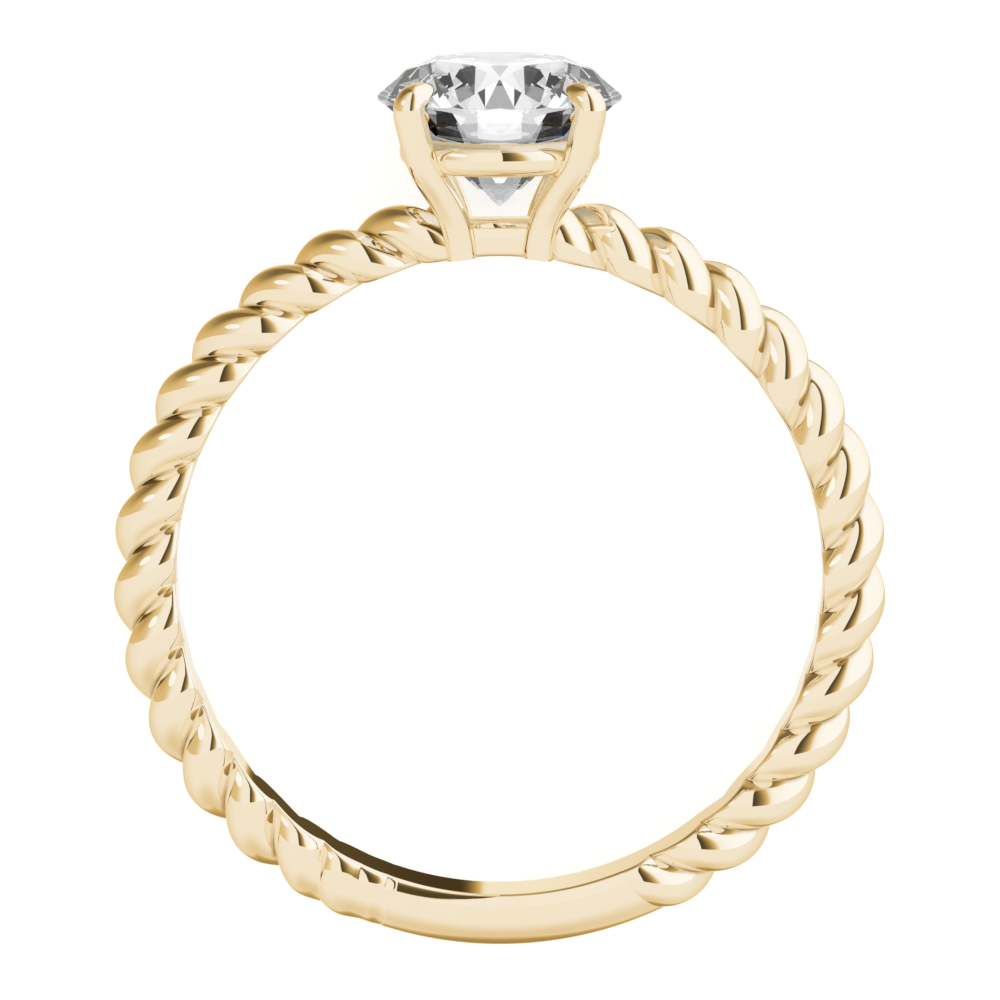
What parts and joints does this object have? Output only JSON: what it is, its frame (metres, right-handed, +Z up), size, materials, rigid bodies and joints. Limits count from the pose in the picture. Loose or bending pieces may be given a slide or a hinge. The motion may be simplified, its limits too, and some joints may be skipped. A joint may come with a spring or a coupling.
{
  "type": "solitaire engagement ring",
  "caption": "Yellow gold solitaire ring with a twisted rope shank, a prong basket head and a round brilliant, lying on its side.",
  "frame": {"origin": "centre of the bounding box's bottom face, on the surface that the ring rests on", "axes": "+Y from the plain back of the shank towards the stone, +Z up from the surface, +X across the shank"},
  "size_m": [0.0208, 0.024, 0.0065],
  "materials": {
    "gold": "polished yellow gold",
    "diamond": "clear, faceted and polished"
  },
  "bodies": {
    "root": {"ring_mount": "gold", "diamond": "diamond"}
  },
  "joints": []
}
